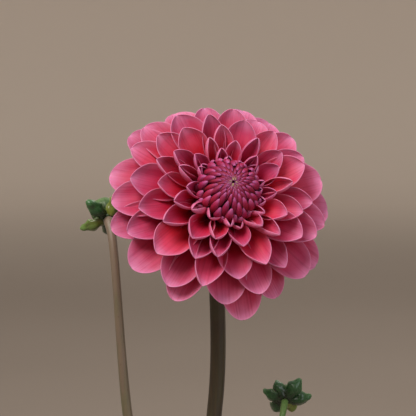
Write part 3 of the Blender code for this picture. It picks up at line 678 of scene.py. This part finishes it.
# ----------------------------------------
# The open florets: six rows of thirteen ray florets on the receptacle's dome, each the golden
# angle on from the one before. The outer two rows are long, broad and nearly flat. Further in
# they are shorter, stand up more and are rolled into cups, and the last row is almost quills.
# ----------------------------------------


def velvet_petal(name):
    """A dahlia petal: soft cells that scatter light and give it a velvety satin. Crimson in the throat, coral and
    then pink along the blade, paler towards its lilac margin, with lengthwise veins some 0.8 mm apart. The darkest
    crimson in the throats and at the feet of the closed scales is partly their own colour and partly painted shade,
    and the thin pale line at the very margin is painted highlight."""
    finish, tree, shader, place = new_finish(name)
    along, across, margin, tone, age, underside = (
        put(tree, "Attribute", attribute_name=label, out="Fac")
        for label in ("along", "across", "margin", "tone", "age", "underside"))
    cloud = put(tree, "TexNoise", {"Vector": place, "Scale": 120.0, "Detail": 2.0})
    reach = put(tree, "Math", {0: cloud, 1: 0.16, 2: -0.08}, operation="MULTIPLY_ADD")
    reach = put(tree, "Math", {0: along, 1: reach}, operation="ADD")
    # the dark crimson at the low end of both ramps is partly the petal's own colour and partly painted shade: in the
    # throats of the cups, and at the feet of the closed scales, between them
    blade = set_ramp(put(tree, "ValToRGB", {"Fac": reach}, out=None),
                     [(0.12, "#90060f"), (0.36, "#b60d1b"), (0.58, "#c01d36"), (0.80, "#c03e60"), (1.0, "#c87098")])
    inner = set_ramp(put(tree, "ValToRGB", {"Fac": reach}, out=None),
                     [(0.10, "#560210"), (0.42, "#92092c"), (0.72, "#a0164c"), (1.0, "#b4589a")])
    turning = put(tree, "MapRange", {"Value": age, "From Min": 0.4, "From Max": 0.75})
    colour = put(tree, "Mix", {0: turning, 6: blade, 7: inner}, data_type="RGBA", out=2)
    # the veins run lengthwise, and each petal has its own
    vein_place = put(tree, "CombineXYZ", {0: across, 1: along, 2: tone})
    vein_place = put(tree, "Mapping", {"Vector": vein_place, "Scale": (1.25, 0.9, 40.0)})
    vein = put(tree, "TexNoise", {"Vector": vein_place, "Scale": 1.0, "Detail": 2.5})
    vein_share = put(tree, "MapRange", {"Value": vein, "From Min": 0.48, "From Max": 0.70, "To Max": 0.42})
    colour = put(tree, "Mix", {0: vein_share, 6: colour, 7: linear("#98203c")}, data_type="RGBA", out=2)
    # the back is duller and paler
    back = set_ramp(put(tree, "ValToRGB", {"Fac": reach}, out=None),
                    [(0.05, "#a2485e"), (0.5, "#b94c6c"), (1.0, "#c8688c")])
    back_share = put(tree, "MapRange", {"Value": age, "From Min": 0.3, "From Max": 0.7,
                                        "To Min": 0.75, "To Max": 0.0})
    back_share = put(tree, "Math", {0: back_share, 1: underside}, operation="MULTIPLY")
    colour = put(tree, "Mix", {0: back_share, 6: colour, 7: back}, data_type="RGBA", out=2)
    # the colour pales softly over the last few millimetres, and most at the very margin, where the thin pale line is
    # painted highlight
    rim_share = put(tree, "MapRange", {"Value": margin, "From Min": 3.6, "From Max": 0.0, "To Max": 0.48})
    painted_edge_highlight = put(tree, "MapRange", {"Value": margin, "From Min": 0.9, "From Max": 0.1, "To Max": 0.3})
    rim_share = put(tree, "Math", {0: rim_share, 1: painted_edge_highlight}, operation="ADD")
    open_share = put(tree, "MapRange", {"Value": age, "From Min": 0.2, "From Max": 0.62, "To Min": 1.0,
                                        "To Max": 0.2})
    rim_share = put(tree, "Math", {0: rim_share, 1: open_share}, operation="MULTIPLY")
    rim_share = put(tree, "Math", {0: rim_share, 1: along}, operation="MULTIPLY")
    colour = put(tree, "Mix", {0: rim_share, 6: colour, 7: linear("#dd8fb6")}, data_type="RGBA", out=2)
    # the closed middle is deeper in colour, and some of its youngest tips are still yellow-green
    deep = put(tree, "MapRange", {"Value": age, "From Min": 0.62, "From Max": 0.95, "To Min": 1.0, "To Max": 0.5})
    colour = put(tree, "HueSaturation", {"Color": colour, "Value": deep})
    young = put(tree, "MapRange", {"Value": age, "From Min": 0.86, "From Max": 0.98})
    some = put(tree, "Math", {0: tone, 1: 0.55}, operation="GREATER_THAN")
    young = put(tree, "Math", {0: young, 1: some}, operation="MULTIPLY")
    tip = put(tree, "MapRange", {"Value": along, "From Min": 0.55, "From Max": 0.95, "To Max": 0.8})
    young = put(tree, "Math", {0: young, 1: tip}, operation="MULTIPLY")
    colour = put(tree, "Mix", {0: young, 6: colour, 7: linear("#b4ac66")}, data_type="RGBA", out=2)
    shade = put(tree, "MapRange", {"Value": tone, "To Min": 0.90, "To Max": 1.08})
    hue = put(tree, "MapRange", {"Value": tone, "To Min": 0.491, "To Max": 0.501})
    colour = put(tree, "HueSaturation", {"Color": colour, "Value": shade, "Hue": hue})
    satin = put(tree, "MapRange", {"Value": vein, "To Min": 0.46, "To Max": 0.62})
    bump = put(tree, "Bump", {"Height": vein, "Strength": 0.35, "Distance": 0.0003})
    feed(tree, shader, {"Base Color": colour, "Roughness": satin, "Normal": bump, "IOR": 1.4,
                        "Subsurface Weight": 0.25, "Subsurface Radius": (1.0, 0.25, 0.3),
                        "Subsurface Scale": 0.0015, "Specular IOR Level": 0.3, "Sheen Weight": 0.05,
                        "Sheen Roughness": 0.4, "Sheen Tint": linear("#f2a6c8")})
    return finish


petal = velvet_petal("velvet_dahlia_petal")


def floret_pattern(name, length, half_width, start, end, claw_roll, blade_roll, tip_roll, hook, pleat, widest=0.6,
                   sway=0.0, opens=(0.0, 0.5), rows=32, columns=20):
    """A ray floret: a rolled claw that opens between two shares of its length into a blade, widest past the
    middle, with a blunt point."""
    return leaf(
        name, length,
        lambda v: half_width * np.where(
            v < widest, between(0.34, 1.0, ease(v / widest) ** 0.9),
            np.maximum(0.05, (1 - ((v - widest) / (1 - widest)) ** 2.5) ** 0.52)),
        lambda v: np.radians(start + (end - start) * v + hook * ease((v - 0.72) / 0.28)),
        lambda v: (between(claw_roll, blade_roll, ease((v - opens[0]) / (opens[1] - opens[0])))
                   + (tip_roll - blade_roll) * ease((v - 0.62) / 0.38)),
        0.5, rows, columns,
        lambda u, v: (pleat * (np.cos(2.6 * math.pi * u) - 0.4) * (1 - u**2)
                      + 0.45 * np.sin(8.5 * v + 2.2 * u + 2.5 * sway) * u**4)
        * ease(v / 0.3) * ease((1.02 - v) / 0.35),
        sway)


IN_A_ROW = 13
OPEN_FLORETS = 6 * IN_A_ROW


def floret_law(number):
    """Length, lift and lift at the tip of a floret, and where its claw stands, by its number from the outside."""
    share = number / (OPEN_FLORETS - 1)
    latitude = math.radians(-25 + number * 49 / (OPEN_FLORETS - 1) + (number // IN_A_ROW) * 3.8)
    return (between(46, 18.5, share**1.15), between(8, 48, share**1.5), between(-30, 64, share**1.5),
            11.2 * math.cos(latitude), 6.3 * math.sin(latitude))


# for each row: half width, the rolls of claw, blade and tip, the hook of the tip, the pleats' height, and how many
# degrees a row stands higher than the even law, pushed up by the one below
row_shapes = [
    (10.8, 1.9, 0.50, 0.58, 10, 0.42, 0.0),
    (10.7, 2.0, 0.72, 0.80, 18, 0.38, 1.0),
    (9.9, 2.1, 0.98, 1.12, 26, 0.26, 3.0),
    (8.8, 2.3, 1.25, 1.32, 26, 0.18, 5.0),
    (7.4, 2.6, 1.60, 1.60, 22, 0.08, 5.0),
    (5.8, 2.8, 1.95, 1.85, 16, 0.0, 2.0),
]
for row, (half_width, claw, blade, tip, hook, pleat, stand) in enumerate(row_shapes):
    opens = (0.0, 0.5) if row < 4 else (0.2, 0.72)  # the inner two rows stay rolled for longer
    first = IN_A_ROW * row
    last = first + IN_A_ROW - 1
    outer, middle, inner = floret_law(first), floret_law(first + IN_A_ROW // 2), floret_law(last)
    patterns = []
    length = middle[0] * (1.025 if row < 2 else 1.0)  # the oldest two rows have grown a little more
    for letter, wide, more, bend, sway in (("a", 1.0, 1.0, 0, 0.6), ("b", 0.92, 1.25, 4, -1.0),
                                           ("c", 1.05, 0.85, -3, 1.2)):
        patterns.append(floret_pattern(
            f"row_{row + 1}_floret_{letter}", length, half_width * wide, 0, middle[2] - middle[1] + bend,
            claw, blade * more, tip * more, hook, pleat, sway=sway * (1 - row / 8), opens=opens))
    florets = set_round(
        f"florets_of_row_{row + 1}", patterns, petal, IN_A_ROW, bloom_head, first=first,
        radius=(outer[3], inner[3]), height=(outer[4], inner[4]), tilt=(outer[1] + stand, inner[1] + stand),
        size=(outer[0] / middle[0], inner[0] / middle[0]),
        age=[number / (OPEN_FLORETS - 1) * 0.55 for number in (first, last)],
        unevenness=0.9 + 0.1 * row, seed=101 + row)
    if row < 2:
        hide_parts(*[f"row{row + 1}_floret_{i:02d}" for i in range(1, 14)])
    else:
        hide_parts(f"floret_row_{row + 1}")
    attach(florets, "root")

# ----------------------------------------
# The closed centre: a ring of half-open florets and some 150 that haven't opened yet. They stand
# on the middle of the receptacle and curl in over one another in spirals, so only their rounded
# backs show, ever smaller up to the tip, where dark gaps and a few yellow-green points are left.
# ----------------------------------------

core_outline = [(0, 5.4), (6.5, 5.4), (8.6, 6.6), (10.6, 9.0), (12.2, 12.0), (12.9, 15.0)]
core_outline += [(12.9 * math.cos(a), 15 + 9.6 * math.sin(a)) for a in np.radians([15, 30, 45, 58, 70, 80])]
core_outline += [(0, 24.6)]
centre = turned("closed_centre_of_florets", core_outline, 32, petal)
dome_side = (bloom_head.to_3x3() @ Vector((0, 0, 1))).normalized()
rim_level = 0.001 * (bloom_head.translation.dot(dome_side) - 0.5)
receptacle.data.materials.append(petal)  # between the claws, the dome has the florets' own crimson
for face in receptacle.data.polygons:
    face.material_index = int(face.center.dot(dome_side) > rim_level)
place_on(centre.data, bloom_head)
label_all(centre.data, along=0.0, across=0.0, margin=5.0, tone=0.1, age=0.8, underside=1.0)
half_open = []
for letter, length, roll, bend in (("a", 16.0, 2.0, 26), ("b", 14.0, 2.2, 32), ("c", 17.4, 1.8, 20)):
    half_open.append(floret_pattern(f"half_open_floret_{letter}", length, 4.9, 0, bend, 2.8, roll, roll, 20, 0.0,
                                    widest=0.7, opens=(0.35, 0.85), rows=24, columns=16))
bands = [centre, set_round("half_open_florets", half_open, petal, 15, bloom_head, first=OPEN_FLORETS,
                           radius=(10.8, 9.4), height=(4.0, 5.2), tilt=(44, 55), size=(1.0, 0.92),
                           age=(0.46, 0.62), unevenness=2.2, seed=200)]
bulge = (14.9, 10.6, 15.3)
for band in range(12):
    tips = [80 * 0.75 ** (band + more) for more in (0.0, 0.5, 1.0)]
    feet = [min(132, tip * 2.1 + 8) for tip in tips]
    first_size, middle_size, last_size = (bulge[0] * math.sin(math.radians(tip)) for tip in tips)
    half_width = (0.47 - 0.012 * band) * 2 * math.pi * (middle_size + 0.8) / IN_A_ROW + 0.12
    scale = hugging_pattern(f"scale_of_band_{band + 1}", bulge, feet[1], tips[1], half_width, 0.42, lift=12,
                            point=0.62, roll=1.45)
    radius, height, tilt = zip(foot_on(bulge, feet[0], 12), foot_on(bulge, feet[2], 12))
    bands.append(set_round(
        f"closed_band_{band + 1}", [scale], petal, IN_A_ROW, bloom_head, first=OPEN_FLORETS + IN_A_ROW * band,
        radius=radius, height=height, tilt=tilt, size=(first_size / middle_size, last_size / middle_size),
        age=(0.62 + 0.032 * band, 0.65 + 0.032 * band), unevenness=1.15, seed=211 + band))
join(centre, bands)
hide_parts("closed_centre")
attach(centre, "root")

for leftover in [o for o in bpy.context.scene.objects if o.type == "MESH" and "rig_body" not in o]:
    bpy.data.objects.remove(leftover, do_unlink=True)

# ----------------------------------------
# The studio: a plain pale floor that sweeps up into a warm taupe wall all round, a large soft
# light above and to the left, weak ones on the right and behind, and the camera level with the bloom.
# ----------------------------------------


def painted_sweep():
    """Matt emulsion on a smooth board: no gloss, and only a trace of the roller."""
    finish, tree, shader, place = new_finish("painted_sweep")
    cloud = put(tree, "TexNoise", {"Vector": place, "Scale": 1.4, "Detail": 2.0})
    colour = set_ramp(put(tree, "ValToRGB", {"Fac": cloud}, out=None), [(0.3, "#8d8278"), (0.7, "#91867c")])
    # painted light: the coat is made paler where less light falls, over the far half of the floor and on the wall
    flat = put(tree, "VectorMath", {0: place, 1: (1.0, 1.0, 0.0)}, operation="MULTIPLY")
    out = put(tree, "VectorMath", {0: flat}, operation="LENGTH", out="Value")
    painted_light_far_off = put(tree, "MapRange", {"Value": out, "From Min": 2.0, "From Max": 4.4},
               interpolation_type="SMOOTHSTEP")
    colour = put(tree, "Mix", {0: painted_light_far_off, 6: colour, 7: linear("#d6cabe")}, data_type="RGBA", out=2)
    height = put(tree, "SeparateXYZ", {0: place}, out="Z")
    # painted light on the wall, paler as it rises
    up = put(tree, "MapRange", {"Value": height, "From Min": 0.1, "From Max": 1.3},
             interpolation_type="SMOOTHSTEP")
    colour = put(tree, "Mix", {0: up, 6: colour, 7: linear("#d5c8bd")}, data_type="RGBA", out=2)
    feed(tree, shader, {"Base Color": colour, "Roughness": 0.95, "Specular IOR Level": 0.1})
    return finish


sweep_outline = [(0, 0)] + [(r, 0) for r in (300, 900, 1600, 2400, 3200, 3800)]
sweep_outline += [(3800 + 1200 * math.sin(a), 1200 - 1200 * math.cos(a))
                  for a in np.radians([15, 30, 45, 60, 75, 90])]
sweep_outline += [(5000, 2000), (5000, 3200)]
sides = 64
angles = np.arange(sides) * 2 * math.pi / sides
points = [(0, 0, 0)] + [(r * math.cos(a), r * math.sin(a), h) for r, h in sweep_outline[1:] for a in angles]
faces = [(0, 1 + i, 1 + (i + 1) % sides) for i in range(sides)]
for ring in range(len(sweep_outline) - 2):
    a, b = 1 + ring * sides, 1 + (ring + 1) * sides
    faces += [(a + i, b + i, b + (i + 1) % sides, a + (i + 1) % sides) for i in range(sides)]
sweep = solid("studio_sweep", points, faces, painted_sweep())

world = bpy.data.worlds.new("studio_air")
world.use_nodes = True
world.node_tree.nodes["Background"].inputs["Color"].default_value = linear("#f4efe8")
world.node_tree.nodes["Background"].inputs["Strength"].default_value = 0.63
bpy.context.scene.world = world


def softbox(name, place, aim, size, power, tint):
    light = bpy.data.lights.new(name, "AREA")
    light.shape = "DISK"
    light.size = size
    light.energy = power
    light.color = linear(tint)[:3]
    made = bpy.data.objects.new(name, light)
    made.location = place
    made.rotation_euler = (Vector(aim) - Vector(place)).to_track_quat("-Z", "Y").to_euler()
    bpy.context.scene.collection.objects.link(made)


softbox("key_softbox", (-0.65, -0.95, 1.65), (0.01, -0.02, 0.36), 0.9, 29, "#fff7f0")
softbox("fill_softbox", (1.3, -1.2, 0.8), (0.01, -0.02, 0.3), 1.2, 8, "#f3f1ff")
softbox("back_softbox", (0.9, 1.6, 1.5), (0.01, 0.0, 0.33), 1.2, 9, "#fffaf4")

camera = bpy.data.objects.new("camera", bpy.data.cameras.new("camera"))
bpy.context.scene.collection.objects.link(camera)
camera.data.sensor_width = 36
camera.data.lens = 158.8
camera.data.clip_start, camera.data.clip_end = 0.05, 50
camera.location = (0.0088, -0.9151, 0.4811)
camera.rotation_euler = (Vector((0.0088, -0.020, 0.387)) - camera.location).to_track_quat("-Z", "Y").to_euler()
bpy.context.scene.camera = camera
bpy.context.scene.view_settings.view_transform = "Standard"
